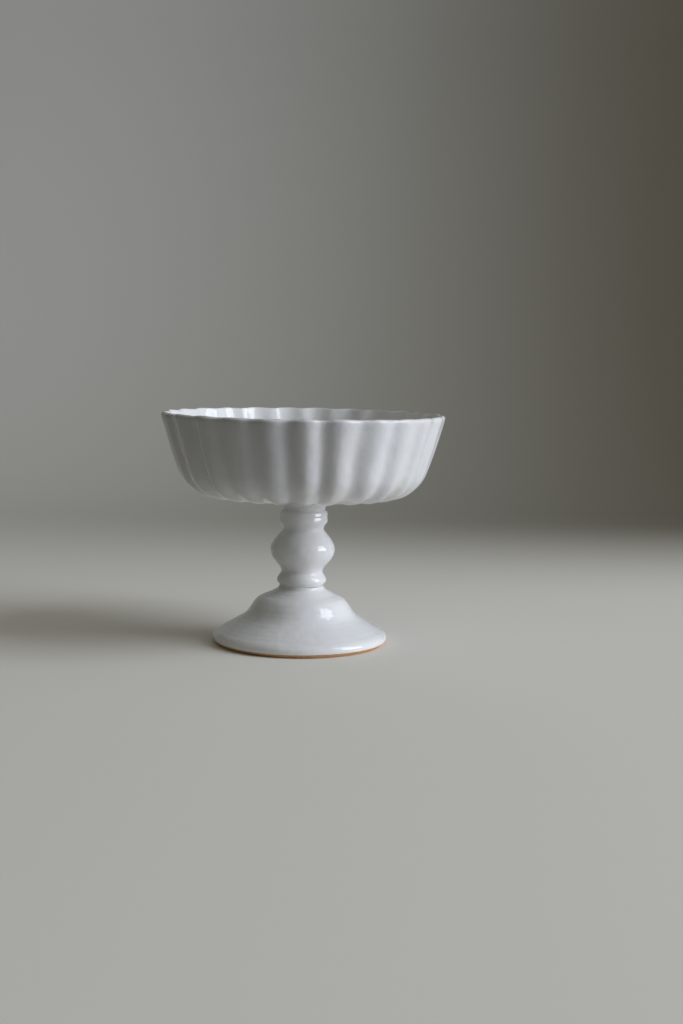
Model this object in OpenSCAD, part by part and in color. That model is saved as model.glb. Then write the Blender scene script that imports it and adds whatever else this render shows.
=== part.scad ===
// Footed compote bowl: a fluted bowl luted onto a hollow baluster stem and a hollow bell foot.
// The origin is on the table under the middle of the foot, with +Z up and the front at -Y.

/* [Height stack] */
// Height of the foot, from the table to the flat land that carries the stem
foot_h = 34; // [30:0.5:40]
// Length of the stem between its two flat ends
stem_h = 56.4; // [54:0.2:70]
// Height of the bowl, from its flat seat to the top of the lip
bowl_h = 57.6; // [48:0.2:66]
// Thickness of the slip in both joints
slip_t = 0.4; // [0.2:0.05:0.8]

/* [Bowl] */
// Outer radius at the lip, midway between the crests and the valleys of the flutes
rim_r = 90; // [75:0.5:100]
// How far the wall leans out between the shoulder and the lip
wall_flare = 10.7; // [6:0.1:16]
// Lean of the wall from upright at the lip, in degrees
lip_lean = 16.5; // [8:0.5:22]
// Lean of the wall from upright at the top of the shoulder, in degrees
shoulder_lean = 20.5; // [14:0.5:28]
// Height of the shoulder's top above the seat
shoulder_h = 21.5; // [16:0.5:28]
// Width of the rounded shoulder, in from the wall
shoulder_w = 24.7; // [16:0.1:30]
// Rise of the underside from the seat to the shoulder
underside_rise = 4.1; // [2:0.1:8]
// Thickness of the lip
lip_t = 3; // [2:0.1:4.5]
// Thickness of the wall at the top of the shoulder
wall_t = 4; // [3:0.1:5.5]
// Thickness of the floor
floor_t = 6; // [4.5:0.1:8]

/* [Flutes] */
// Number of flutes round the bowl
flute_count = 25; // [16:1:30]
// Depth of a flute on the wall, from crest to valley
flute_depth = 2.6; // [1:0.1:4]
// Depth of a flute under the shoulder, from crest to valley
underside_depth = 1.6; // [0.6:0.1:2.6]
// Turn of the first crest away from the front, in degrees
flute_turn = 0.5; // [0:0.1:14]

/* [Stem] */
// Radius of the stem's lower end
joint_r = 14.4; // [13:0.1:15.4]
// Radius of the low bead above the foot
bead_r = 15.95; // [15.5:0.05:18]
// Height of the low bead above the stem's lower end
bead_h = 6.2; // [5:0.1:8]
// Radius of the cove under the knop
cove_r = 13.4; // [11.5:0.1:15]
// Height of the cove above the stem's lower end
cove_h = 11.6; // [10:0.1:14]
// Radius of the knop
knop_r = 20.8; // [17:0.1:26]
// Height of the knop's widest line above the stem's lower end
knop_h = 26.4; // [22:0.1:30]
// Radius of the waist between the knop and the collar
waist_r = 13.2; // [11.5:0.1:14.8]
// Drop of the waist below the stem's upper end
waist_drop = 16.8; // [15:0.1:19]
// Radius of the collar's lower ridge
collar_r = 15.65; // [15.3:0.05:18]
// Drop of the collar's lower ridge below the stem's upper end
collar_drop = 11; // [10:0.1:12.5]
// Depth of the shallow groove between the collar's two ridges
collar_groove = 0.5; // [0.2:0.05:0.8]
// Width of each half of that groove
groove_w = 1.9; // [1.2:0.1:2.2]
// How far the collar's upper ridge stays inside the lower one
ridge_set = 0.35; // [0:0.05:0.4]
// Radius of the neck under the bowl
neck_r = 13.6; // [12:0.1:14.6]
// Drop of the neck's lower end below the stem's upper end
neck_drop = 4.4; // [4.1:0.1:5.5]
// Radius of the bore at both ends of the stem
bore_r = 6.5; // [4:0.1:7.5]
// Radius of the bore inside the knop
knop_bore_r = 8.6; // [8:0.1:9]

/* [Foot] */
// Radius of the foot at its widest, on the rolled edge
foot_r = 56.2; // [48:0.2:66]
// Height of that widest line above the table
edge_h = 3.9; // [3:0.1:5]
// How far the rolled edge overhangs the bare ring below it
edge_under = 2.8; // [1.5:0.1:3.5]
// How far the flare starts inside the rolled edge
edge_over = 3.2; // [2:0.1:4]
// Height of the start of the flare above the table
flare_h = 8.1; // [7:0.1:9.5]
// Slope of the flare where it starts, in degrees
flare_slope = 30; // [24:1:36]
// Radius of the foot's shoulder
foot_shoulder_r = 31.8; // [28:0.2:36]
// Height of the foot's shoulder above the table
foot_shoulder_h = 23.8; // [21:0.2:25.5]
// Slope of the foot's shoulder, in degrees
foot_shoulder_slope = 59; // [50:1:66]
// Slope of the dome where it meets the land under the stem, in degrees
dome_slope = 31; // [24:1:40]
// Width of the bare ring that the foot stands on
ring_w = 4.4; // [3:0.1:6]
// Thickness of the foot's wall
foot_wall = 4.8; // [4:0.1:5.6]

/* [Joints] */
// Outer radius of the spigot below the stem, which drops into the foot
spigot_r = 10.1; // [9.5:0.1:11.5]
// Length of the spigot
spigot_h = 5; // [3:0.1:6]
// Height of the coil of clay smoothed round the foot of the stem
low_coil_h = 2.6; // [1.5:0.1:3.4]
// Width of that coil on the foot's land
low_coil_w = 2.6; // [1.5:0.1:3.5]
// Height of the coil of clay smoothed round the neck under the bowl
top_coil_h = 4; // [2.5:0.1:4]
// Width of that coil on the bowl's seat
top_coil_w = 4.4; // [3:0.1:6]
// Thickness of both coils at their feathered edges
feather_t = 0.25; // [0.15:0.05:0.5]

/* [Hidden] */
glaze_colour = "#e6e8ec";
clay_colour = "#c2a184";
round_steps = 160;
curve_steps = 10;

// Places of the flat joint faces up the stack
stem_z = foot_h + slip_t;
stem_top_z = stem_z + stem_h;
seat_z = stem_top_z + slip_t;

// The bowl's flat seat is a little wider than the coil that is smoothed against it
seat_margin = 0.6;
seat_r = neck_r + top_coil_w + seat_margin;
shoulder_r = rim_r - wall_flare;
underside_r = shoulder_r - shoulder_w;
lip_z = bowl_h - lip_t / 2 * (1 + sin(lip_lean));

// Facets in each flute, and steps of the bowl's outline
flute_steps = 8;
underside_steps = 3;
shoulder_steps = 6;
wall_steps = 3;
inner_shoulder_steps = 4;
inner_floor_steps = 2;
// The crests are a little broader than the valleys between them
crest_share = 0.125;
// Part of the outer flutes' depth that the inner face shows, and the slope at the underside's end
inner_flute_share = 0.85;
underside_slope = 1;
// Reach of the outline's curve handles, as shares of the straight distance between its points
third_share = 1 / 3;
shoulder_share = 0.38;

// The foot's radii work inwards from its widest line
ring_out_r = foot_r - edge_under;
ring_in_r = ring_out_r - ring_w;
flare_r = foot_r - edge_over;
land_r = joint_r + low_coil_w;
foot_bore_r = spigot_r + slip_t;
// Reach of the foot's curve handles, as shares of the straight distance between the points
edge_shares = [0.36, 0.34];
flare_shares = [0.69, 0.32];
dome_shares = [0.49, 0.55];
// Slope of the rolled edge where it leaves the bare ring, in degrees
edge_slope = 38;
// Reach of the handles along the bore's widening and along both coils' faces
bore_shares = [0.5, 0.5];
coil_shares = [0.4, 0.4];

// Turning points of the stem's outline, as radius and height above its lower end
stem_turns = [
    [joint_r, low_coil_h],
    [bead_r, bead_h],
    [cove_r, cove_h],
    [knop_r, knop_h],
    [waist_r, stem_h - waist_drop],
    [collar_r, stem_h - collar_drop],
    [collar_r - collar_groove, stem_h - collar_drop + groove_w],
    [collar_r - ridge_set, stem_h - collar_drop + 2 * groove_w],
    [neck_r, stem_h - neck_drop],
];
// Upright reach of the outline's handles at both ends of each curve, as shares of its height
stem_shares = [
    [0.35, 0.5],
    [0.47, 0.18],
    [0.32, 0.52],
    [0.43, 0.13],
    [0.57, 0.2],
    [0.4, 0.4],
    [0.4, 0.4],
    [0.3, 0.4],
];

// A point of a curve with four control points, and its unit direction of travel there
function bezier(p, s) =
    pow(1 - s, 3) * p[0] + 3 * pow(1 - s, 2) * s * p[1] + 3 * (1 - s) * s * s * p[2] + pow(s, 3) * p[3];
function bezier_way(p, s) =
    let (d = pow(1 - s, 2) * (p[1] - p[0]) + 2 * (1 - s) * s * (p[2] - p[1]) + s * s * (p[3] - p[2]))
    d / norm(d);
function curve(p, steps) = [for (i = [0:steps]) bezier(p, i / steps)];

// Control points from a to b that leave a and reach b along the given directions
function handles(a, way_a, b, way_b, shares) =
    [a, a + way_a * norm(b - a) * shares[0], b - way_b * norm(b - a) * shares[1], b];
// Control points from a to b that are upright at both ends
function upright(a, b, shares) =
    let (rise = b[1] - a[1])
    [a, a + [0, rise * shares[0]], b - [0, rise * shares[1]], b];

// Unit directions: upright, level, up and out at a lean, out at a slope, in and up at a slope
upwards = [0, 1];
level_out = [1, 0];
function leaning(angle) = [sin(angle), cos(angle)];
function outwards(angle) = [cos(angle), sin(angle)];
function inwards(angle) = [-cos(angle), sin(angle)];

// The bowl's outer outline above the seat, in three curves from the seat's edge to the lip
seat_edge = [seat_r, 0];
underside_end = [underside_r, underside_rise];
shoulder_top = [shoulder_r, shoulder_h];
lip_edge = [rim_r, lip_z];
underside_curve = handles(
    seat_edge, level_out, underside_end, outwards(underside_slope), [third_share, third_share]
);
shoulder_curve = handles(
    underside_end, outwards(underside_slope), shoulder_top, leaning(shoulder_lean),
    [shoulder_share, shoulder_share]
);
wall_curve = handles(
    shoulder_top, leaning(shoulder_lean), lip_edge, leaning(lip_lean), [third_share, third_share]
);

// A row of the bowl: outer point, outward direction, wall thickness, flute direction, flute height
function blend(a, b, s) = a + (b - a) * s;
function outward(way) = [way[1], -way[0]];
function underside_row(s) =
    let (out = outward(bezier_way(underside_curve, s)))
    [bezier(underside_curve, s), out, floor_t, out, underside_depth / 2 * s * s];
function shoulder_row(s) =
    let (out = outward(bezier_way(shoulder_curve, s)))
    let (depth = blend(underside_depth, flute_depth, s))
    [bezier(shoulder_curve, s), out, blend(floor_t, wall_t, s), out, depth / 2];
// Up the wall the flutes turn level, so that the lip stays flat
function wall_row(s) =
    let (out = outward(bezier_way(wall_curve, s)), level = outward(leaning(shoulder_lean * (1 - s))))
    [bezier(wall_curve, s), out, blend(wall_t, lip_t, s), level, flute_depth / 2];

// Rings of the bowl's skin as base point, flute direction and height: outside, lip, then inside
function outer_ring(r) = [r[0], r[3], r[4]];
function inner_ring(r) = [r[0] - r[1] * r[2], r[3], r[4] * inner_flute_share];
lip_row = wall_row(1);
lip_centre = lip_row[0] - lip_row[1] * lip_t / 2;
lip_top_turn = 90 + lip_lean;
function lip_ring(turn) = [
    lip_centre + lip_t / 2 * (cos(turn) * lip_row[1] + sin(turn) * leaning(lip_lean)),
    lip_row[3],
    lip_row[4] * blend(1, inner_flute_share, turn / 180),
];
bowl_rings = [
    for (i = [0:underside_steps - 1]) outer_ring(underside_row(i / underside_steps)),
    for (i = [0:shoulder_steps - 1]) outer_ring(shoulder_row(i / shoulder_steps)),
    for (i = [0:wall_steps]) outer_ring(wall_row(i / wall_steps)),
    for (turn = [lip_top_turn / 2, lip_top_turn, (lip_top_turn + 180) / 2]) lip_ring(turn),
    for (i = [0:wall_steps - 1]) inner_ring(wall_row(1 - i / wall_steps)),
    for (i = [0:inner_shoulder_steps - 1]) inner_ring(shoulder_row(1 - i / inner_shoulder_steps)),
    for (i = [0:inner_floor_steps]) inner_ring(underside_row(1 - i / inner_floor_steps)),
];

// Height of the flutes round the bowl, from 1 on a crest to -1 in a valley
function flute_wave(angle) =
    let (c = cos(flute_count * (angle - flute_turn))) c + crest_share * (1 - c * c);
function ring_point(ring, angle) =
    let (p = ring[0] + ring[1] * ring[2] * flute_wave(angle))
    [p[0] * sin(angle), -p[0] * cos(angle), seat_z + p[1]];

module bowl() {
    around = flute_count * flute_steps;
    rings = len(bowl_rings);
    floor_centre = [0, 0, seat_z + floor_t];
    points = [
        [0, 0, seat_z],
        for (ring = bowl_rings, i = [0:around - 1]) ring_point(ring, 360 * i / around),
        floor_centre,
    ];
    function at(j, i) = 1 + j * around + i % around;
    faces = [
        for (i = [0:around - 1]) [0, at(0, i), at(0, i + 1)],
        for (j = [0:rings - 2], i = [0:around - 1]) [at(j, i), at(j + 1, i), at(j + 1, i + 1)],
        for (j = [0:rings - 2], i = [0:around - 1]) [at(j, i), at(j + 1, i + 1), at(j, i + 1)],
        for (i = [0:around - 1]) [len(points) - 1, at(rings - 1, i + 1), at(rings - 1, i)],
    ];
    color(glaze_colour) polyhedron(points, faces);
}

// The coil's face is a hollow curve from the upright neck out to the underside of the bowl
module bowl_luting_coil() {
    low_end = [neck_r + feather_t, seat_z - top_coil_h];
    high_end = [neck_r + top_coil_w, seat_z - feather_t];
    face = handles(low_end, upwards, high_end, level_out, coil_shares);
    color(glaze_colour)
        rotate_extrude($fn = round_steps)
            polygon([
                [neck_r, seat_z - top_coil_h],
                each curve(face, curve_steps),
                [neck_r + top_coil_w, seat_z],
                [neck_r, seat_z],
            ]);
}

// A washer of slip between the stem's upper end and the bowl's seat
module bowl_slip() {
    color(clay_colour)
        translate([0, 0, stem_top_z])
            rotate_extrude($fn = round_steps)
                polygon([
                    [bore_r, 0],
                    [neck_r, 0],
                    [neck_r, slip_t],
                    [bore_r, slip_t],
                ]);
}

// One thrown tube: spigot, bead, cove, knop, waist, collar with two ridges, and neck
module stem() {
    // The bore widens inside the knop, halfway from it to each end
    bore_top = [bore_r, (knop_h + stem_h) / 2];
    bore_wide = [knop_bore_r, knop_h];
    bore_low = [bore_r, knop_h / 2];
    color(glaze_colour)
        translate([0, 0, stem_z])
            rotate_extrude($fn = round_steps)
                polygon([
                    [bore_r, -spigot_h],
                    [spigot_r, -spigot_h],
                    [spigot_r, 0],
                    [joint_r, 0],
                    for (i = [0:len(stem_shares) - 1])
                        each curve(upright(stem_turns[i], stem_turns[i + 1], stem_shares[i]), curve_steps),
                    [neck_r, stem_h],
                    [bore_r, stem_h],
                    each curve(upright(bore_top, bore_wide, bore_shares), curve_steps),
                    each curve(upright(bore_wide, bore_low, bore_shares), curve_steps),
                ]);
}

// Slip in the lower joint: a washer under the stem and a sleeve round its spigot
module foot_slip() {
    color(clay_colour)
        translate([0, 0, foot_h])
            rotate_extrude($fn = round_steps)
                polygon([
                    [spigot_r, slip_t - spigot_h],
                    [foot_bore_r, slip_t - spigot_h],
                    [foot_bore_r, 0],
                    [joint_r, 0],
                    [joint_r, slip_t],
                    [spigot_r, slip_t],
                ]);
}

// The coil's face carries the slope of the foot's dome up into the upright foot of the stem
module foot_luting_coil() {
    low_end = [land_r, foot_h];
    high_end = [joint_r + feather_t, foot_h + low_coil_h];
    face = handles(low_end, inwards(dome_slope), high_end, upwards, coil_shares);
    color(glaze_colour)
        rotate_extrude($fn = round_steps)
            polygon([
                [joint_r, foot_h],
                each curve(face, curve_steps),
                [joint_r, foot_h + low_coil_h],
            ]);
}

// A hollow bell on a bare flat ring, with a rolled edge, a hollow flare and a domed top
module foot() {
    ring_edge = [ring_out_r, 0];
    widest = [foot_r, edge_h];
    flare_start = [flare_r, flare_h];
    shoulder = [foot_shoulder_r, foot_shoulder_h];
    land = [land_r, foot_h];
    roll_under = handles(ring_edge, outwards(edge_slope), widest, upwards, [third_share, third_share]);
    roll_over = handles(widest, upwards, flare_start, inwards(flare_slope), edge_shares);
    flare = handles(
        flare_start, inwards(flare_slope), shoulder, inwards(foot_shoulder_slope), flare_shares
    );
    dome = handles(shoulder, inwards(foot_shoulder_slope), land, inwards(dome_slope), dome_shares);
    // The inner face runs a wall's thickness inside the outer one, down to the ring
    function inside(p, slope) = p - foot_wall * [sin(slope), cos(slope)];
    flare_in = handles(
        inside(shoulder, foot_shoulder_slope), -inwards(foot_shoulder_slope),
        inside(flare_start, flare_slope), -inwards(flare_slope),
        [flare_shares[1], flare_shares[0]]
    );
    dome_in = handles(
        [foot_bore_r, foot_h + slip_t - spigot_h], level_out,
        inside(shoulder, foot_shoulder_slope), -inwards(foot_shoulder_slope),
        [dome_shares[1], dome_shares[0]]
    );
    color(glaze_colour)
        rotate_extrude($fn = round_steps)
            polygon([
                each curve(roll_under, curve_steps),
                each curve(roll_over, curve_steps),
                each curve(flare, curve_steps),
                each curve(dome, curve_steps),
                [foot_bore_r, foot_h],
                each curve(dome_in, curve_steps),
                for (p = curve(flare_in, curve_steps)) if (p[0] < ring_in_r) p,
                [ring_in_r, 0],
            ]);
}

bowl();
bowl_slip();
bowl_luting_coil();
stem();
foot_slip();
foot_luting_coil();
foot();
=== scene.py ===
import math

import bpy
import numpy as np
from mathutils import Matrix


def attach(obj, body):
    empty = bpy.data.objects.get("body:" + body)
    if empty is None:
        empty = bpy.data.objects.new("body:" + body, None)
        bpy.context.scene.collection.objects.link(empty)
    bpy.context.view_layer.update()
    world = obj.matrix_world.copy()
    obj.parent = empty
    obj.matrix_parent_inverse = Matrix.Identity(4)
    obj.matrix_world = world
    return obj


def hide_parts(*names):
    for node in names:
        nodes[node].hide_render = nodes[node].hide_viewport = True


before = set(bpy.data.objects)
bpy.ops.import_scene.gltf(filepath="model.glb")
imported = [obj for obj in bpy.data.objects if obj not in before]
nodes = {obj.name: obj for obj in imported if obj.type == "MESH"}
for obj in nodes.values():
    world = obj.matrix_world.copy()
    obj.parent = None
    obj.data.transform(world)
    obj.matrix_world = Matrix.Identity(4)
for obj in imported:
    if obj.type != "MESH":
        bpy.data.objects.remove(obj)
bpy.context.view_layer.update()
scene = bpy.context.scene
scene.view_settings.view_transform = "Standard"

# Camera. It looks down a little on the lip from 0.91 m away, panned and rolled by a degree or so,
# as the ellipses of the lip and the foot show. The lens is 50 mm on a frame 36 mm tall.
camera = bpy.data.objects.new("camera", bpy.data.cameras.new("camera"))
camera.data.sensor_fit = "VERTICAL"
camera.data.sensor_height = 36
camera.data.lens = 50
camera.data.clip_start = 0.01
camera_place = (0, -0.912, 0.18665)
pitch, pan, roll = 0.11107, 0.02738, 0.01715
level = math.cos(pitch)
ahead = np.array([math.sin(pan) * level, math.cos(pan) * level, -math.sin(pitch)])
across = np.array([math.cos(pan), -math.sin(pan), 0])
above = np.cross(across, ahead)
camera_x = across * math.cos(roll) + above * math.sin(roll)
camera_y = above * math.cos(roll) - across * math.sin(roll)
camera_turn = np.stack([camera_x, camera_y, -ahead], 1)
camera.matrix_world = Matrix(
    [[*row, place] for row, place in zip(camera_turn, camera_place)] + [[0, 0, 0, 1]]
)
scene.collection.objects.link(camera)
scene.camera = camera

# The foot. A bell of white stoneware, thrown upside down, turned leather hard and dipped in glaze.
# The ring that it stands on is wiped bare, so the glaze stops there in a soft uneven roll.
# Sizes are in millimetres, as in the frame's own drawing, with the ground at height 0.
MM = 0.001
UP, OUT = (0, 1), (1, 0)
foot_r, edge_h, ring_r, ring_inner_r = 56.2, 3.9, 53.4, 49.0
flare_r, flare_h, foot_shoulder_r, foot_shoulder_h = 53.0, 8.1, 31.8, 23.8
land_r, foot_h, foot_bore_r, foot_bore_h = 17.0, 34.0, 10.5, 29.4
foot_wall, land_middle_r = 4.8, 14
glaze_line_h, glaze_roll_t, wiped_in_h = 2.3, 0.26, 1.2
seat_z, foot_off, lean_per_mm = 91.2, -1.0, 0.0204


def slope(angle, side=1):
    """Direction that rises at this angle in degrees, outwards for side 1 and inwards for -1."""
    return side * math.cos(math.radians(angle)), math.sin(math.radians(angle))


def drawn_out(start, first, last, end, steps):
    """Points of the curve that leaves start for first and reaches end from last, end left out."""
    s = np.linspace(0, 1, steps, endpoint=False)[:, None]
    near, far = 3 * (1 - s) ** 2 * s, 3 * (1 - s) * s * s
    return (1 - s) ** 3 * start + near * first + far * last + s**3 * end


def curve(start, start_way, end, end_way, shares, steps):
    """Points of the curve that leaves start one way and reaches end another, end left out."""
    start, end = np.array(start, float), np.array(end, float)
    reach = np.linalg.norm(end - start)
    first = start + np.array(start_way) * reach * shares[0]
    last = end - np.array(end_way) * reach * shares[1]
    return drawn_out(start, first, last, end, steps)


def line(start, end, steps):
    """Points of a straight line, end left out."""
    s = np.linspace(0, 1, steps, endpoint=False)[:, None]
    return (1 - s) * np.array(start, float) + s * np.array(end, float)


def outward(points):
    """Outward directions along an outline that runs up the outside."""
    along = np.gradient(points, axis=0)
    along /= np.maximum(np.linalg.norm(along, axis=1, keepdims=True), 1e-9)
    return np.stack([along[:, 1], -along[:, 0]], 1)


def drift(angle, seed, orders=(1, 2, 3, 5, 7)):
    """A smooth uneven value round the pot, between about -1 and 1."""
    chance = np.random.default_rng(seed)
    waves = [
        np.cos(n * angle + chance.uniform(0, 6.283)) * chance.uniform(0.5, 1) / n**0.5
        for n in orders
    ]
    return sum(waves) / sum(1 / n**0.5 for n in orders)


def travelled(points):
    """Length along an outline, up to each of its points."""
    return np.concatenate([[0], np.cumsum(np.linalg.norm(np.diff(points, axis=0), axis=1))])


def thrown(points, angle, pitch, depth, seed):
    """Depth of the spiral marks that the thrower's fingers leave, along an outline and round it."""
    way = travelled(points)
    turn = angle[None, :] / (2 * math.pi)
    chance = np.random.default_rng(seed)
    grip = np.arange(0, way[-1] + 4, 4)
    swell = np.interp(way, grip, chance.uniform(0.2, 1, len(grip)))
    marks = np.sin(2 * math.pi * (way[:, None] / pitch - turn)) * swell[:, None]
    fine_share, fine_pitch, fade_length = 0.4, pitch * 0.43, 3
    marks += fine_share * np.sin(2 * math.pi * (way[:, None] / fine_pitch - turn + 0.3))
    ends = np.clip(np.minimum(way, way[-1] - way) / fade_length, 0, 1)[:, None]
    return depth * marks * ends


def leant(height):
    """How far right the pot's axis stands at this height, because it was joined by eye."""
    return foot_off + lean_per_mm * np.minimum(height, seat_z)


def skin(name, radius, height, lean=True, poles=False, attributes=(), bare=None):
    """A closed turned mesh from rows of radius and height, one column for each step round the pot.

    The last row joins the first, or with poles each end closes in a fan. Rows marked bare get the
    piece's second material, and attributes are kept on the points.
    """
    rows, around = radius.shape
    angle = np.arange(around) * 2 * math.pi / around
    shift = leant(height) if lean else 0 * height
    points = np.stack([radius * np.sin(angle) + shift, -radius * np.cos(angle), height], -1)
    points = points.reshape(-1, 3)
    bands = rows - 1 if poles else rows
    row, column = np.meshgrid(np.arange(bands), np.arange(around), indexing="ij")
    low, high, following = row * around, (row + 1) % rows * around, (column + 1) % around
    faces = [low + column, low + following, high + following, high + column]
    faces = np.stack(faces, -1).reshape(-1, 4).tolist()
    values = {
        key: np.broadcast_to(value, radius.shape).reshape(-1)
        for key, value in dict(attributes).items()
    }
    if poles:
        first, last, ring = rows * around, rows * around + 1, np.arange(around)
        points = np.concatenate([points, [[0, 0, height[0].mean()]], [[0, 0, height[-1].mean()]]])
        faces += np.stack([first + 0 * ring, (ring + 1) % around, ring], -1).tolist()
        top = (rows - 1) * around
        faces += np.stack([last + 0 * ring, top + ring, top + (ring + 1) % around], -1).tolist()
        values = {key: np.append(value, [value[0], value[-1]]) for key, value in values.items()}
    mesh = bpy.data.meshes.new(name)
    mesh.from_pydata((points * MM).tolist(), [], faces)
    mesh.polygons.foreach_set("use_smooth", [True] * len(faces))
    for key, value in values.items():
        kept = mesh.attributes.new(key, "FLOAT", "POINT")
        kept.data.foreach_set("value", value.astype(np.float32))
    if bare is not None:
        mesh.polygons.foreach_set("material_index", bare[row.reshape(-1)].astype(np.int32))
    mesh.update()
    piece = bpy.data.objects.new(name, mesh)
    scene.collection.objects.link(piece)
    return piece


def add(tree, kind, inputs=(), **settings):
    """Adds a node with its settings, and sets or links its inputs, by name or by place.

    A map range takes its value at 0, the range it comes from at 1 and 2, and the one it goes to at
    3 and 4. A mix of colours takes its share at 0 and the colours at 6 and 7.
    """
    node = tree.nodes.new(kind)
    for key, value in settings.items():
        setattr(node, key, value)
    for key, value in dict(inputs).items():
        if isinstance(value, bpy.types.NodeSocket):
            tree.links.new(value, node.inputs[key])
        else:
            node.inputs[key].default_value = value
    return node


def srgb(code):
    """Linear colour of an sRGB hex code."""
    parts = [int(code[i : i + 2], 16) / 255 for i in (1, 3, 5)]
    return [c / 12.92 if c <= 0.04045 else ((c + 0.055) / 1.055) ** 2.4 for c in parts] + [1]


# White stoneware glaze, fired glossy. It lies 0.3 mm thick, so the eye sees a soft milky white with
# cooler and warmer clouds some 20 mm across, a faint orange-peel wave, and a buff tint where it runs
# thin over an edge and the clay shows through.
glaze = bpy.data.materials.new("white_stoneware_glaze")
glaze.use_nodes = True
tree = glaze.node_tree
shader = tree.nodes["Principled BSDF"]
shader.inputs["IOR"].default_value = 1.5
place = add(tree, "ShaderNodeTexCoord").outputs["Object"]
clouds = add(
    tree, "ShaderNodeTexNoise",
    {"Vector": place, "Scale": 1 / 0.022, "Detail": 2.0, "Roughness": 0.45},
)
cloud_mask = add(
    tree, "ShaderNodeMapRange", {0: clouds.outputs[0], 1: 0.35, 2: 0.65},
    interpolation_type="SMOOTHSTEP",
)
body = add(
    tree, "ShaderNodeMix",
    {0: cloud_mask.outputs[0], 6: srgb("#ebebe9"), 7: srgb("#e6e7e8")}, data_type="RGBA",
)
tint_share = add(tree, "ShaderNodeAttribute", attribute_name="buff_tint").outputs["Fac"]
break_up = add(
    tree, "ShaderNodeTexNoise",
    {"Vector": place, "Scale": 1 / 0.007, "Detail": 3.0, "Roughness": 0.6},
)
patchy = add(tree, "ShaderNodeMath", {0: tint_share, 1: break_up.outputs[0]}, operation="MULTIPLY")
tint_mask = add(
    tree, "ShaderNodeMapRange", {0: patchy.outputs[0], 1: 0.42, 2: 0.7},
    interpolation_type="SMOOTHSTEP",
)
colour = add(
    tree, "ShaderNodeMix",
    {0: tint_mask.outputs[0], 6: body.outputs[2], 7: srgb("#ab9682")}, data_type="RGBA",
)
tree.links.new(colour.outputs[2], shader.inputs["Base Color"])
shine = add(tree, "ShaderNodeMapRange", {0: clouds.outputs[0], 1: 0.3, 2: 0.7, 3: 0.03, 4: 0.055})
tree.links.new(shine.outputs[0], shader.inputs["Roughness"])
ripple = add(
    tree, "ShaderNodeTexNoise",
    {"Vector": place, "Scale": 1 / 0.0052, "Detail": 1.5, "Roughness": 0.4},
)
peel = add(
    tree, "ShaderNodeBump", {"Strength": 1.0, "Distance": 0.00026, "Height": ripple.outputs[0]}
)
tree.links.new(peel.outputs[0], shader.inputs["Normal"])

# Bare stoneware where the ring is wiped clean: buff clay, dry to the eye, with fine darker grog
# under a millimetre across and a toasted blush beside the glaze.
bare_clay = bpy.data.materials.new("bare_stoneware")
bare_clay.use_nodes = True
tree = bare_clay.node_tree
shader = tree.nodes["Principled BSDF"]
shader.inputs["IOR"].default_value = 1.45
place = add(tree, "ShaderNodeTexCoord").outputs["Object"]
mottle = add(
    tree, "ShaderNodeTexNoise",
    {"Vector": place, "Scale": 1 / 0.006, "Detail": 4.0, "Roughness": 0.6},
)
buff = add(
    tree, "ShaderNodeMix",
    {0: mottle.outputs[0], 6: srgb("#bf8f60"), 7: srgb("#dab07f")}, data_type="RGBA",
)
grog = add(tree, "ShaderNodeTexVoronoi", {"Vector": place, "Scale": 1 / 0.0016})
grog_mask = add(
    tree, "ShaderNodeMapRange", {0: grog.outputs["Distance"], 1: 0.18, 2: 0.3, 3: 1.0, 4: 0.0}
)
speckled = add(
    tree, "ShaderNodeMix",
    {0: grog_mask.outputs[0], 6: buff.outputs[2], 7: srgb("#8c6647")}, data_type="RGBA",
)
tree.links.new(speckled.outputs[2], shader.inputs["Base Color"])
shader.inputs["Roughness"].default_value = 0.85
grain = add(tree, "ShaderNodeTexNoise", {"Vector": place, "Scale": 1 / 0.0008, "Detail": 2.0})
grit = add(tree, "ShaderNodeBump", {"Strength": 0.5, "Distance": 0.0001, "Height": grain.outputs[0]})
tree.links.new(grit.outputs[0], shader.inputs["Normal"])

# The rolled edge, from the ring out and up: bare clay to the glaze line, then the glaze's own swell,
# with its rows closest together where it starts.
around = 288
angle = np.arange(around) * 2 * math.pi / around
line_sway, swell_sway, swell_fade, tint_fade = 0.35, 0.3, 1.1, 0.35
glazed_steps = [0, 0.01, 0.03, 0.06, 0.1, 0.16, 0.24, 0.34, 0.46, 0.6, 0.75, 0.9]
roll_under = curve((ring_r, 0), slope(38), (foot_r, edge_h), UP, (1 / 3, 1 / 3), 200)
roll_under = np.concatenate([roll_under, [[foot_r, edge_h]]])
under_way = travelled(roll_under)
under_out = outward(roll_under)
line_way = np.interp(glaze_line_h + line_sway * drift(angle, 4), roll_under[:, 1], under_way)
bare_way = np.linspace(0, 1, 7, endpoint=False)[:, None] * line_way
glazed_way = under_way[-1] - line_way
free_way = glazed_way * np.array(glazed_steps)[:, None]
past_line = np.minimum(free_way / glaze_roll_t, 1)
swell = np.sqrt(np.clip(1 - (1 - past_line) ** 2, 0, 1)) * np.exp(-free_way / swell_fade)
swell *= glaze_roll_t * (1 - free_way / glazed_way) * (1 + swell_sway * drift(angle, 9))
under_all = np.concatenate([bare_way, line_way + free_way])
under_swell = np.concatenate([0 * bare_way, swell])
under_radius, under_height = (
    np.interp(under_all, under_way, roll_under[:, side])
    + np.interp(under_all, under_way, under_out[:, side]) * under_swell
    for side in (0, 1)
)

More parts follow.
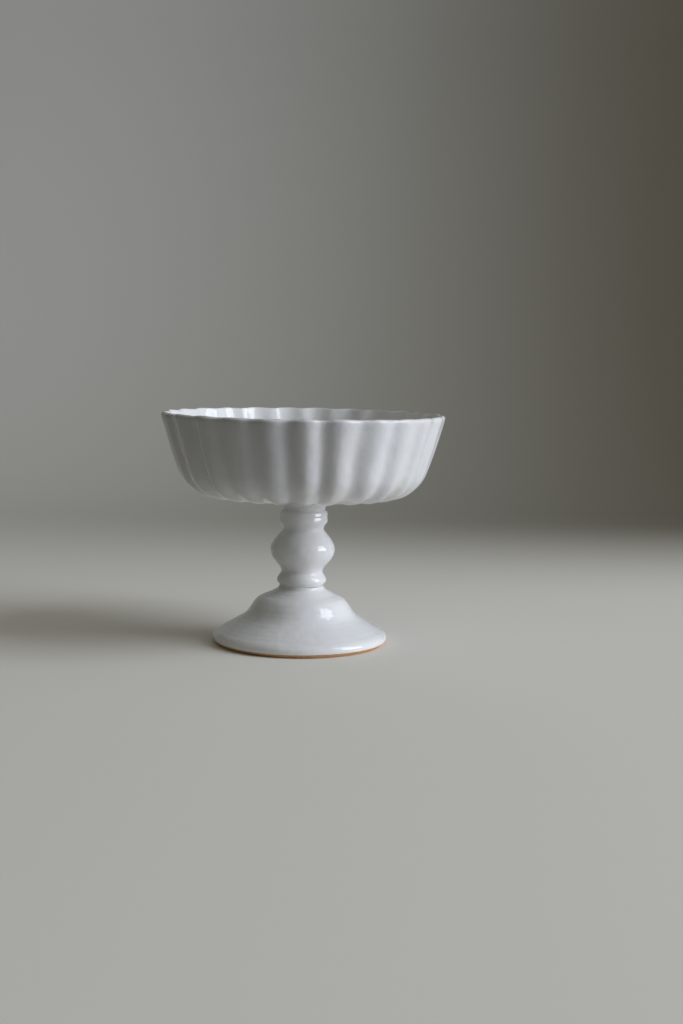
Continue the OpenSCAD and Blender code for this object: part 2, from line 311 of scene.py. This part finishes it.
# The bell above it, with the thrower's marks, and the hollow inside, a wall's thickness under it.
flare_a, shoulder_a, land_a = 30, 59, 31
flare_at, shoulder_at = (flare_r, flare_h), (foot_shoulder_r, foot_shoulder_h)
outside = np.concatenate([
    curve((foot_r, edge_h), UP, flare_at, slope(flare_a, -1), (0.36, 0.34), 18),
    curve(flare_at, slope(flare_a, -1), shoulder_at, slope(shoulder_a, -1), (0.69, 0.32), 44),
    curve(shoulder_at, slope(shoulder_a, -1), (land_r, foot_h), slope(land_a, -1), (0.49, 0.55), 34),
    [[land_r, foot_h]],
])
marks = thrown(outside, angle, pitch=4.1, depth=0.045, seed=3)
out = outward(outside)
outside_radius = outside[:, :1] + out[:, :1] * marks
outside_height = outside[:, 1:] + out[:, 1:] * marks

shoulder_in = np.array(shoulder_at) - foot_wall * np.array(slope(shoulder_a)[::-1])
flare_in = np.array(flare_at) - foot_wall * np.array(slope(flare_a)[::-1])
hollow = np.concatenate([
    line((land_middle_r, foot_h), (foot_bore_r, foot_h), 3),
    line((foot_bore_r, foot_h), (foot_bore_r, foot_bore_h), 5),
    curve((foot_bore_r, foot_bore_h), OUT, shoulder_in, slope(-shoulder_a), (0.55, 0.49), 20),
    curve(shoulder_in, slope(-shoulder_a), flare_in, slope(-flare_a), (0.32, 0.69), 40),
])
hollow = hollow[hollow[:, 0] < ring_inner_r - 0.2]
rim_in = np.array([
    [ring_inner_r, hollow[-1, 1] * 0.6], [ring_inner_r, wiped_in_h], [ring_inner_r, 0.5]
])
edge_in = np.array([[ring_inner_r + 0.15, 0.15], [ring_inner_r + 0.5, 0]])
ring_flat = line((ring_inner_r + 1.2, 0), (ring_r - 0.6, 0), 4)
inside = np.concatenate([hollow, rim_in, edge_in, ring_flat])
rows = len(under_radius) + len(outside_radius) + len(inside)
radius = np.concatenate([under_radius, outside_radius, np.repeat(inside[:, :1], around, 1)])
height = np.concatenate([under_height, outside_height, np.repeat(inside[:, 1:], around, 1)])
bare = np.zeros(rows, int)
bare[: len(bare_way)] = 1
bare[rows - len(rim_in[1:]) - len(edge_in) - len(ring_flat) :] = 1
buff_tint = np.zeros(radius.shape)
buff_tint[len(bare_way) : len(under_radius)] = np.exp(-free_way / tint_fade)
foot = skin("foot_thrown", radius, height, attributes={"buff_tint": buff_tint}, bare=bare)
foot.data.materials.append(glaze)
foot.data.materials.append(bare_clay)
foot.data.set_sharp_from_angle(angle=math.radians(50))
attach(foot, "root")
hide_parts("foot")

# Slip in the joint of the foot and the stem, and above it in the joint of the stem and the bowl.
# Liquid clay of the same body, brushed on both faces before they are pressed together. It fires
# as hard as they do, and stays hidden, so the frame's own solids serve with bare clay on them.
for joint in ("foot_slip", "bowl_slip"):
    for slot in nodes[joint].material_slots:
        slot.material = bare_clay

# The coil at the foot. A thin roll of soft clay pressed into the corner below the stem and smoothed
# with a finger into the foot's dome, then glazed with the rest. It shows as a small bright hollow.
joint_r, low_coil_h, feather_t, low_press, low_rows = 14.4, 2.6, 0.25, 0.06, 18
around = 192
angle = np.arange(around) * 2 * math.pi / around
low_top = (joint_r + feather_t, foot_h + low_coil_h)
low_face = curve((land_r, foot_h), slope(land_a, -1), low_top, UP, (0.4, 0.4), low_rows)
middle = np.sin(np.linspace(0, math.pi, low_rows))[:, None]
pressed = low_press * drift(angle, 21, (3, 5, 8, 11)) * middle
back = np.array([
    [joint_r, foot_h + low_coil_h], [joint_r, foot_h + low_coil_h / 2], [joint_r, foot_h]
])
radius = np.concatenate([low_face[:, :1] + pressed, np.repeat(back[:, :1], around, 1)])
height = np.concatenate([np.repeat(low_face[:, 1:], around, 1), np.repeat(back[:, 1:], around, 1)])
foot_coil = skin("foot_coil_smoothed", radius, height)
foot_coil.data.materials.append(glaze)
foot_coil.data.set_sharp_from_angle(angle=math.radians(60))
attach(foot_coil, "root")
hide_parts("foot_luting_coil")

# The stem. One tube of white stoneware, thrown off the hump and shaped between finger and tool: a
# low bead, a cove, the knop, a waist, a collar with two soft ridges, and the neck. Its spigot
# drops into the foot's bore.
stem_z, stem_h, neck_r = 34.4, 56.4, 13.6
bore_r, knop_bore_r, spigot_r, spigot_h = 6.5, 8.6, 10.1, 5.0
foot_of_bead, crease_at, bead, cove = (14.4, 2.25), (14.0, 2.8), (15.95, 6.2), (13.4, 11.6)
knop, waist, collar, ridge_a = (20.8, 26.4), (13.2, 39.6), (15.62, 44.8), 82
knop_h, crease_w, tooled_h, tool_fade = knop[1], 0.5, 44, 3
turns = [foot_of_bead, crease_at, bead, cove, knop, waist, collar]

# For the curve from each turn to the next: how long it stays upright at its ends, and its rows.
reaches = [(0.4, 0.3), (0.2, 0.5), (0.47, 0.18), (0.32, 0.52), (0.43, 0.13), (0.45, 0.25)]
row_counts = [6, 14, 16, 34, 34, 20]


def upright(low, high, shares, steps):
    """Points of a curve that is upright at both ends, the high end left out."""
    low, high = np.array(low, float), np.array(high, float)
    rise = high[1] - low[1]
    first, last = low + (0, rise * shares[0]), high - (0, rise * shares[1])
    return drawn_out(low, first, last, high, steps)


shaped = np.concatenate(
    [line((joint_r, 0), turns[0], 6)]
    + [upright(*part) for part in zip(turns, turns[1:], reaches, row_counts)]
    + [
        curve(collar, UP, (15.5, 46.25), slope(ridge_a, -1), (0.5, 0.2), 5),
        line((15.5, 46.25), (15.4, 47.0), 6),
        curve((15.4, 47.0), slope(ridge_a, -1), (15.29, 47.75), UP, (0.3, 0.3), 5),
        curve((15.29, 47.75), UP, (15.44, 48.5), UP, (0.4, 0.4), 6),
        curve((15.44, 48.5), UP, (15.39, 49.1), slope(ridge_a, -1), (1 / 3, 1 / 3), 4),
        line((15.39, 49.1), (15.23, 50.25), 6),
        curve((15.23, 50.25), slope(ridge_a, -1), (neck_r, 52.4), UP, (0.4, 0.4), 12),
        line((neck_r, 52.4), (neck_r, stem_h), 10),
        [[neck_r, stem_h]],
    ]
)
inner = np.concatenate([
    line((bore_r, stem_h), (bore_r, (knop_h + stem_h) / 2), 3),
    upright((bore_r, (knop_h + stem_h) / 2), (knop_bore_r, knop_h), (0.5, 0.5), 10),
    upright((knop_bore_r, knop_h), (bore_r, knop_h / 2), (0.5, 0.5), 10),
    line((bore_r, knop_h / 2), (bore_r, -spigot_h), 4),
    line((bore_r, -spigot_h), (spigot_r, -spigot_h), 2),
    line((spigot_r, -spigot_h), (spigot_r, 0), 3),
    [[spigot_r, 0]],
])

# The marks fade out below the collar, which was finished with a tool, and a buff tint lies in a
# narrow uneven band along the crease under the bead.
marks = thrown(shaped, angle, pitch=2.9, depth=0.03, seed=8)
marks *= np.clip((tooled_h - shaped[:, 1:]) / tool_fade, 0, 1)
out = outward(shaped)
radius = np.concatenate([shaped[:, :1] + out[:, :1] * marks, np.repeat(inner[:, :1], around, 1)])
height = np.concatenate([shaped[:, 1:] + out[:, 1:] * marks, np.repeat(inner[:, 1:], around, 1)])
crease = np.exp(-(((shaped[:, 1:] - crease_at[1]) / crease_w) ** 2))
crease = crease * (1.0 + 0.5 * drift(angle, 14))
buff_tint = np.concatenate([crease, np.zeros((len(inner), around))])
stem = skin("stem_thrown", radius, height + stem_z, attributes={"buff_tint": buff_tint})
stem.data.materials.append(glaze)
stem.data.set_sharp_from_angle(angle=math.radians(50))
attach(stem, "root")
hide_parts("stem")

# The coil under the bowl. The same soft roll of clay, smoothed from the neck out onto the bowl's
# underside, so that the neck seems to spread as it meets the bowl.
top_coil_h, top_coil_w, top_press, top_rows = 4.0, 4.4, 0.08, 20
high_start, high_end = (neck_r + feather_t, -top_coil_h), (neck_r + top_coil_w, -feather_t)
high_face = curve(high_start, UP, high_end, OUT, (0.4, 0.4), top_rows)
middle = np.sin(np.linspace(0, math.pi, top_rows))[:, None]
pressed = top_press * drift(angle, 33, (2, 4, 7, 9)) * middle
back = np.array([
    [neck_r + top_coil_w, -feather_t], [neck_r + top_coil_w, 0], [neck_r, 0],
    [neck_r, -top_coil_h / 2], [neck_r, -top_coil_h],
])
radius = np.concatenate([high_face[:, :1] + pressed, np.repeat(back[:, :1], around, 1)])
height = np.concatenate([np.repeat(high_face[:, 1:], around, 1), np.repeat(back[:, 1:], around, 1)])
bowl_coil = skin("bowl_coil_smoothed", radius, height + seat_z)
bowl_coil.data.materials.append(glaze)
bowl_coil.data.set_sharp_from_angle(angle=math.radians(60))
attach(bowl_coil, "root")
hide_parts("bowl_luting_coil")

# The bowl. White stoneware, thrown as a plain deep dish, then pressed into 25 flutes by hand from
# the lip down under the shoulder, so each one is a little different from the next. The dish is
# turned here, and a node tree presses the flutes by the rule that the frame's own bowl follows.
rim_r, lip_lean, shoulder_lean, shoulder_h, underside_rise = 90.0, 16.5, 20.5, 21.5, 4.1
shoulder_r, underside_r, seat_r, bowl_h = 79.3, 54.6, 18.6, 57.6
lip_t, wall_t, floor_t, underside_a = 3.0, 4.0, 6.0, 1
flute_depth, underside_depth, inner_share = 2.6, 1.6, 0.85
lip_zone_h, lip_tint_h, pinch_h = 7, 2.2, 5.0
lip_h = bowl_h - lip_t / 2 * (1 + math.sin(math.radians(lip_lean)))


def leaning(lean):
    """Direction upwards that leans out by this angle in degrees."""
    return np.array([math.sin(math.radians(lean)), math.cos(math.radians(lean))])


def beside(ways):
    """Directions that point out of the dish, beside directions along it."""
    return np.stack([ways[:, 1], -ways[:, 0]], 1)


def section(start, start_way, end, end_way, share, count):
    """Points and outward directions of one part of the dish's outline, both ends kept."""
    fine = curve(start, start_way, end, end_way, (share, share), 400)
    fine = np.concatenate([fine, [end]])
    along = np.gradient(fine, axis=0)
    out = beside(along / np.linalg.norm(along, axis=1, keepdims=True))
    at = np.linspace(0, 400, count).round().astype(int)
    return at[:, None] / 400, fine[at], out[at]


underside_at, underside_way = (underside_r, underside_rise), slope(underside_a)
shoulder_at, shoulder_way = (shoulder_r, shoulder_h), leaning(shoulder_lean)
under_s, under, under_out = section((seat_r, 0), OUT, underside_at, underside_way, 1 / 3, 22)
bend_s, bend, bend_out = section(
    underside_at, underside_way, shoulder_at, shoulder_way, 0.38, 44
)
wall_s, wall, wall_out = section(
    shoulder_at, shoulder_way, (rim_r, lip_h), leaning(lip_lean), 1 / 3, 50
)
level = beside(np.stack([leaning(shoulder_lean * (1 - s)) for s in wall_s[:, 0]]))
bend_depth = (underside_depth + (flute_depth - underside_depth) * bend_s) / 2
lip_turn = np.radians(np.linspace(0, 180, 15))[1:-1, None]
lip_centre = wall[-1] - wall_out[-1] * lip_t / 2
lip_way = np.cos(lip_turn) * wall_out[-1] + np.sin(lip_turn) * leaning(lip_lean)
lip = lip_centre + lip_t / 2 * lip_way
lip_share = 1 - (1 - inner_share) * lip_turn / math.pi
seat_rows = np.array([[5.0, 0], [10, 0], [15, 0], [18, 0]])
outside = np.concatenate([seat_rows, under, bend[1:], wall[1:]])
press_way = np.concatenate([0 * seat_rows, under_out, bend_out[1:], level[1:]])
press_by = np.concatenate([
    0 * seat_rows[:, :1],
    underside_depth / 2 * under_s**2,
    bend_depth[1:],
    0 * wall_s[1:] + flute_depth / 2,
])
wall_in = wall - wall_out * (wall_t + (lip_t - wall_t) * wall_s)
bend_in = bend - bend_out * (floor_t + (wall_t - floor_t) * bend_s)
under_in = under - under_out * floor_t
inside = np.concatenate([
    wall_in[::-1][::2], bend_in[::-1][1::2], under_in[::-1][1::2], [[12, floor_t], [6, floor_t]]
])
inside_way = np.concatenate([
    level[::-1][::2], bend_out[::-1][1::2], under_out[::-1][1::2], [[0, -1], [0, -1]]
])
inside_by = inner_share * np.concatenate([
    0 * wall_s[::2] + flute_depth / 2,
    bend_depth[::-1][1::2],
    underside_depth / 2 * under_s[::-1][1::2] ** 2,
    [[0], [0]],
])
dish = np.concatenate([outside, lip, inside])
press_way = np.concatenate([press_way, np.repeat(level[-1:], len(lip), 0), inside_way])
press_way *= np.concatenate([press_by, lip_share * flute_depth / 2, inside_by])
around = 400
angle = np.arange(around) * 2 * math.pi / around
below_lip = bowl_h - dish[:, 1:]
near_lip = np.clip(1 - below_lip / lip_zone_h, 0, 1)
free_clay = np.clip((dish[:, :1] - 30) / 25, 0, 1) * np.clip(below_lip / 10, 0, 1)

# The potter's fingers thinned the outside of the lip, more in some places than in others.
pinch = 0.8 + 0.45 * drift(angle, 12, (3, 5, 8, 13))
pinch_rows = np.clip(1 - below_lip / pinch_h, 0, 1) ** 2
pinch_rows[len(outside) + len(lip) :] = 0
lip_top = len(lip) // 2 + 1
pinch_rows[len(outside) + lip_top : len(outside) + len(lip)] = 1 + np.cos(lip_turn[lip_top:])
dish_radius = dish[:, :1] - pinch_rows * pinch

# Each flute was pressed by eye, at its own place and to its own depth. The places are the crests'
# angles in degrees, and the shares are of the full depth, from the front one to the right, round the
# back and home again. Under the shoulder they are all alike in depth.
crest_at = [1.2, 14.6, 30, 44, 57.5, 70.6, 86.5, 101.3, 116, 129.5, 145, 158.5, 173.6]
crest_at += [187.4, 202.5, 216, 231.5, 245, 260.2, 273.5, 286, 302.3, 318.1, 332, 345.6]
depth_shares = [1.12, 1.0, 0.7, 0.6, 0.5, 0.8, 0.45, 0.9, 0.7, 1.0, 0.85, 0.75, 0.95]
depth_shares += [0.8, 1.0, 0.7, 0.9, 0.85, 0.95, 0.9, 0.95, 1.15, 1.3, 0.4, 0.7]
flutes = len(crest_at)
all_round = np.concatenate([np.radians(crest_at) + lap * 2 * math.pi for lap in (-1, 0, 1)])
flute_count = np.interp(angle, all_round, np.arange(-flutes, 2 * flutes))
hand_share = np.interp(flute_count, np.arange(flutes), depth_shares, period=flutes)
hand_share = 1 - (1 - hand_share) * np.clip((dish[:, 1:] - 6) / 16, 0, 1)
bowl = skin(
    "bowl_fluted", dish_radius, np.repeat(dish[:, 1:] + seat_z, around, 1), lean=False, poles=True,
    attributes={
        "press_out": press_way[:, :1] * MM,
        "press_up": press_way[:, 1:] * MM,
        "flute_count": flute_count,
        "hand_share": hand_share,
        "near_lip": near_lip,
        "free_clay": free_clay,
        "buff_tint": np.clip(1 - below_lip / lip_tint_h, 0, 1),
    },
)

tree = bpy.data.node_groups.new("pressed_flutes", "GeometryNodeTree")
given = {}
for key, kind, value in (
    ("Dish", "NodeSocketGeometry", None),
    ("Crest breadth", "NodeSocketFloat", 0.18),
    ("Breadth change", "NodeSocketFloat", 0.9),
    ("Unevenness", "NodeSocketFloat", 0.8),
    ("Wander", "NodeSocketFloat", 0.2),
    ("Hand wobble", "NodeSocketFloat", 0.0009),
    ("Lip wave", "NodeSocketFloat", 0.0007),
    ("Seed", "NodeSocketFloat", 7.0),
    ("Glaze", "NodeSocketMaterial", glaze),
):
    given[tree.interface.new_socket(name=key, in_out="INPUT", socket_type=kind).identifier] = value
tree.interface.new_socket(name="Bowl", in_out="OUTPUT", socket_type="NodeSocketGeometry")
entry = add(tree, "NodeGroupInput").outputs
where = add(tree, "GeometryNodeInputPosition").outputs[0]
axis = add(tree, "ShaderNodeSeparateXYZ", {0: where}).outputs

# Where the crests run: at each flute's own place, straying a little on the way down.
count = add(
    tree, "GeometryNodeInputNamedAttribute", {0: "flute_count"}, data_type="FLOAT"
).outputs[0]
astray = add(
    tree, "ShaderNodeTexNoise",
    {"Vector": where, "W": entry["Seed"], "Scale": 1 / 0.036, "Detail": 1.0}, noise_dimensions="4D",
).outputs[0]
astray = add(tree, "ShaderNodeMath", {0: astray, 1: 0.5}, operation="SUBTRACT").outputs[0]
count = add(
    tree, "ShaderNodeMath", {0: astray, 1: entry["Wander"], 2: count}, operation="MULTIPLY_ADD"
).outputs[0]
phase = add(tree, "ShaderNodeMath", {0: count, 1: 2 * math.pi}, operation="MULTIPLY").outputs[0]
crest = add(tree, "ShaderNodeMath", {0: phase}, operation="COSINE").outputs[0]
square = add(tree, "ShaderNodeMath", {0: crest, 1: crest}, operation="MULTIPLY").outputs[0]
rest = add(tree, "ShaderNodeMath", {0: 1.0, 1: square}, operation="SUBTRACT").outputs[0]

# How broad each crest is, which differs round the bowl.
flat = add(tree, "ShaderNodeCombineXYZ", {0: axis[0], 1: axis[1]}).outputs[0]
radial = add(tree, "ShaderNodeVectorMath", {0: flat}, operation="NORMALIZE").outputs[0]
breadth = add(
    tree, "ShaderNodeTexNoise",
    {"Vector": radial, "W": entry["Seed"], "Scale": 5.0, "Detail": 0.0}, noise_dimensions="4D",
).outputs[0]
breadth = add(tree, "ShaderNodeMath", {0: breadth, 1: 0.5}, operation="SUBTRACT").outputs[0]
breadth = add(
    tree, "ShaderNodeMath", {0: breadth, 1: entry["Breadth change"], 2: entry["Crest breadth"]},
    operation="MULTIPLY_ADD",
).outputs[0]
wave = add(
    tree, "ShaderNodeMath", {0: rest, 1: breadth, 2: crest}, operation="MULTIPLY_ADD"
).outputs[0]

# How deep each flute is pressed, and which way.
chance = add(
    tree, "ShaderNodeTexNoise",
    {"Vector": where, "W": entry["Seed"], "Scale": 1 / 0.03, "Detail": 1.0}, noise_dimensions="4D",
).outputs[0]
chance = add(tree, "ShaderNodeMath", {0: chance, 1: 0.5}, operation="SUBTRACT").outputs[0]
chance = add(tree, "ShaderNodeMath", {0: chance}, operation="ABSOLUTE").outputs[0]
chance = add(
    tree, "ShaderNodeMath", {0: chance, 1: entry["Unevenness"]}, operation="MULTIPLY"
).outputs[0]
chance = add(tree, "ShaderNodeMath", {0: 1.0, 1: chance}, operation="SUBTRACT").outputs[0]
wave = add(tree, "ShaderNodeMath", {0: wave, 1: chance}, operation="MULTIPLY").outputs[0]
share = add(tree, "GeometryNodeInputNamedAttribute", {0: "hand_share"}, data_type="FLOAT").outputs[0]
wave = add(tree, "ShaderNodeMath", {0: wave, 1: share}, operation="MULTIPLY").outputs[0]
outs = add(tree, "GeometryNodeInputNamedAttribute", {0: "press_out"}, data_type="FLOAT").outputs[0]
ups = add(tree, "GeometryNodeInputNamedAttribute", {0: "press_up"}, data_type="FLOAT").outputs[0]
outs = add(tree, "ShaderNodeMath", {0: outs, 1: wave}, operation="MULTIPLY").outputs[0]
ups = add(tree, "ShaderNodeMath", {0: ups, 1: wave}, operation="MULTIPLY").outputs[0]
level_press = add(
    tree, "ShaderNodeVectorMath", {0: radial, "Scale": outs}, operation="SCALE"
).outputs[0]

# The lip sags a little where a flute is pressed in, and by chance.
sag = add(
    tree, "ShaderNodeTexNoise",
    {"Vector": radial, "W": entry["Seed"], "Scale": 2.2, "Detail": 2.0}, noise_dimensions="4D",
).outputs[0]
lips = add(tree, "GeometryNodeInputNamedAttribute", {0: "near_lip"}, data_type="FLOAT").outputs[0]
pulled = add(tree, "ShaderNodeMath", {0: wave, 1: -0.4, 2: 0.4}, operation="MULTIPLY_ADD").outputs[0]
sag = add(tree, "ShaderNodeMath", {0: sag, 1: pulled}, operation="ADD").outputs[0]
sag = add(tree, "ShaderNodeMath", {0: sag, 1: lips}, operation="MULTIPLY").outputs[0]
sag = add(tree, "ShaderNodeMath", {0: sag, 1: entry["Lip wave"]}, operation="MULTIPLY").outputs[0]
ups = add(tree, "ShaderNodeMath", {0: ups, 1: sag}, operation="SUBTRACT").outputs[0]
rise = add(tree, "ShaderNodeCombineXYZ", {2: ups}).outputs[0]
press = add(tree, "ShaderNodeVectorMath", {0: level_press, 1: rise}, operation="ADD").outputs[0]
fluted = add(
    tree, "GeometryNodeSetPosition", {"Geometry": entry["Dish"], "Offset": press}
).outputs[0]

# The whole wall keeps a slight wobble from the hand.
hand = add(
    tree, "ShaderNodeTexNoise",
    {"Vector": where, "W": entry["Seed"], "Scale": 1 / 0.024, "Detail": 1.5}, noise_dimensions="4D",
).outputs[0]
hand = add(tree, "ShaderNodeMath", {0: hand, 1: 0.5}, operation="SUBTRACT").outputs[0]
loose = add(tree, "GeometryNodeInputNamedAttribute", {0: "free_clay"}, data_type="FLOAT").outputs[0]
hand = add(tree, "ShaderNodeMath", {0: hand, 1: loose}, operation="MULTIPLY").outputs[0]
hand = add(
    tree, "ShaderNodeMath", {0: hand, 1: entry["Hand wobble"]}, operation="MULTIPLY"
).outputs[0]
facing = add(tree, "GeometryNodeInputNormal").outputs[0]
nudge = add(tree, "ShaderNodeVectorMath", {0: facing, "Scale": hand}, operation="SCALE").outputs[0]
shaped_bowl = add(tree, "GeometryNodeSetPosition", {"Geometry": fluted, "Offset": nudge}).outputs[0]
real = add(tree, "GeometryNodeRealizeInstances", {0: shaped_bowl}).outputs[0]
coated = add(
    tree, "GeometryNodeSetMaterial", {"Geometry": real, "Material": entry["Glaze"]}
).outputs[0]
add(tree, "NodeGroupOutput", {0: coated})

pressing = bowl.modifiers.new("pressing", "NODES")
pressing.node_group = tree
for identifier, value in given.items():
    if value is not None:
        pressing[identifier] = value
depsgraph = bpy.context.evaluated_depsgraph_get()
pressed_mesh = bpy.data.meshes.new_from_object(bowl.evaluated_get(depsgraph))
bowl.modifiers.clear()
bowl.data = pressed_mesh
bowl.data.set_sharp_from_angle(angle=math.radians(50))
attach(bowl, "root")
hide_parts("bowl")

# Stage. A plain pale floor in matt paint, which curves up into a grey backdrop well behind the
# bowl. The backdrop's paint darkens from left to right, a painted shade. Only a patch of the floor,
# 0.42 m by 0.51 m, throws much light back up at the bowl. Past that patch the floor is as pale to
# the eye, but dark to bounced light.
floor_colour, far_floor_colour = "#e6e3db", "#45443f"
wall_colour, painted_shade_wall_colour = "#cdcbc4", "#5f5a49"
patch_centre, patch_half = (0.012, 0.031, 0), (0.21, 0.254, 1)
patch_turn = (0, 0, math.radians(15.6))
floor_reach, cove_y, cove_r, wall_top = 4.0, 0.75, 0.7, 2.6
cove_turn = np.linspace(0, math.pi / 2, 25)[1:]
profile = [(-floor_reach, 0.0), (cove_y, 0.0)]
profile += [(cove_y + cove_r * math.sin(a), cove_r - cove_r * math.cos(a)) for a in cove_turn]
profile += [(cove_y + cove_r, wall_top)]
mesh = bpy.data.meshes.new("floor")
mesh.from_pydata(
    [(x, y, z) for y, z in profile for x in (-floor_reach, floor_reach)], [],
    [(2 * i, 2 * i + 1, 2 * i + 3, 2 * i + 2) for i in range(len(profile) - 1)],
)
mesh.polygons.foreach_set("use_smooth", [True] * len(mesh.polygons))
floor = bpy.data.objects.new("floor", mesh)
scene.collection.objects.link(floor)
paint = bpy.data.materials.new("matt_paint")
paint.use_nodes = True
tree = paint.node_tree
shader = tree.nodes["Principled BSDF"]
place = add(tree, "ShaderNodeTexCoord").outputs["Object"]
spot = add(tree, "ShaderNodeSeparateXYZ", {0: place}).outputs
up_wall = add(
    tree, "ShaderNodeMapRange", {0: spot[1], 1: 0.15, 2: 0.7}, interpolation_type="SMOOTHSTEP"
)
on_patch = add(
    tree, "ShaderNodeMapping", {0: place, 1: patch_centre, 2: patch_turn, 3: patch_half},
    vector_type="TEXTURE",
).outputs[0]
on_patch = add(tree, "ShaderNodeVectorMath", {0: on_patch}, operation="ABSOLUTE").outputs[0]
on_patch = add(tree, "ShaderNodeSeparateXYZ", {0: on_patch}).outputs
on_patch = add(
    tree, "ShaderNodeMath", {0: on_patch[0], 1: on_patch[1]}, operation="MAXIMUM"
).outputs[0]
beyond = add(
    tree, "ShaderNodeMapRange", {0: on_patch, 1: 0.95, 2: 1.05}, interpolation_type="SMOOTHSTEP"
).outputs[0]
bounce = add(tree, "ShaderNodeLightPath").outputs["Is Diffuse Ray"]
beyond = add(tree, "ShaderNodeMath", {0: beyond, 1: bounce}, operation="MULTIPLY").outputs[0]
ground = add(
    tree, "ShaderNodeMix",
    {0: beyond, 6: srgb(floor_colour), 7: srgb(far_floor_colour)}, data_type="RGBA",
)
# Painted shade: the backdrop's paint darkens from the left to the right.
right = add(
    tree, "ShaderNodeMapRange", {0: spot[0], 1: -0.6, 2: 0.7}, interpolation_type="SMOOTHSTEP"
)
backdrop = add(
    tree, "ShaderNodeMix",
    {0: right.outputs[0], 6: srgb(wall_colour), 7: srgb(painted_shade_wall_colour)}, data_type="RGBA",
)
shade = add(
    tree, "ShaderNodeMix",
    {0: up_wall.outputs[0], 6: ground.outputs[2], 7: backdrop.outputs[2]}, data_type="RGBA",
)
tree.links.new(shade.outputs[2], shader.inputs["Base Color"])
shader.inputs["Roughness"].default_value = 0.7
shader.inputs["IOR"].default_value = 1.25
floor.data.materials.append(paint)

# Light. A tall soft window to the right and a little in front, brighter below than above, and a dim
# room that is darkest in front and to the left, and pales towards the window's side. Where a camera
# or a reflection looks past the backdrop, it sees a plain grey.
window_x, window_y, window_w, daylight = 2.3, -0.68, 1.32, "#eff4ff"
to_room = np.array([-window_x, -window_y, 0]) / math.hypot(window_x, window_y)
window_side = np.cross(to_room, (0, 0, 1))
window_turn = np.stack([window_side, np.cross(window_side, to_room), -to_room], 1)
window_parts = (("window_low", 0.41, 0.44, 17.6), ("window_high", 1.91, 2.56, 59.6))
for name, middle_h, tall, power in window_parts:
    light = bpy.data.lights.new(name, "AREA")
    light.shape = "RECTANGLE"
    light.size, light.size_y = window_w, tall
    light.energy = power
    light.color = srgb(daylight)[:3]
    lamp = bpy.data.objects.new(name, light)
    lamp.matrix_world = Matrix(
        [[*row, at] for row, at in zip(window_turn, (window_x, window_y, middle_h))] + [[0, 0, 0, 1]]
    )
    lamp.visible_camera = False
    scene.collection.objects.link(lamp)

world = bpy.data.worlds.new("room")
world.use_nodes = True
tree = world.node_tree
way = add(tree, "ShaderNodeTexCoord").outputs["Generated"]
rightward = add(tree, "ShaderNodeSeparateXYZ", {0: way}).outputs[0]
to_window = add(
    tree, "ShaderNodeMapRange", {0: rightward, 1: 0.3, 2: 1.0}, interpolation_type="SMOOTHSTEP"
).outputs[0]
left_front = add(
    tree, "ShaderNodeVectorMath", {0: way, 1: (-0.5, -0.87, 0)}, operation="DOT_PRODUCT"
).outputs["Value"]
gloom = add(
    tree, "ShaderNodeMapRange", {0: left_front, 1: 0.3, 2: 0.9}, interpolation_type="SMOOTHSTEP"
).outputs[0]
shadows = add(
    tree, "ShaderNodeMix", {0: gloom, 6: srgb("#7b796e"), 7: srgb("#11110f")}, data_type="RGBA"
).outputs[2]
room = add(
    tree, "ShaderNodeMix", {0: to_window, 6: shadows, 7: srgb("#c4c9d3")}, data_type="RGBA"
).outputs[2]
ray = add(tree, "ShaderNodeLightPath").outputs
seen = add(
    tree, "ShaderNodeMath", {0: ray["Is Camera Ray"], 1: ray["Is Glossy Ray"]}, operation="MAXIMUM"
).outputs[0]
seen = add(
    tree, "ShaderNodeMath", {0: seen, 1: ray["Is Transmission Ray"]}, operation="MAXIMUM"
).outputs[0]
seen = add(tree, "ShaderNodeMix", {0: seen, 6: room, 7: srgb("#8f8e88")}, data_type="RGBA")
background = tree.nodes["Background"]
tree.links.new(seen.outputs[2], background.inputs["Color"])
background.inputs["Strength"].default_value = 1.15
scene.world = world
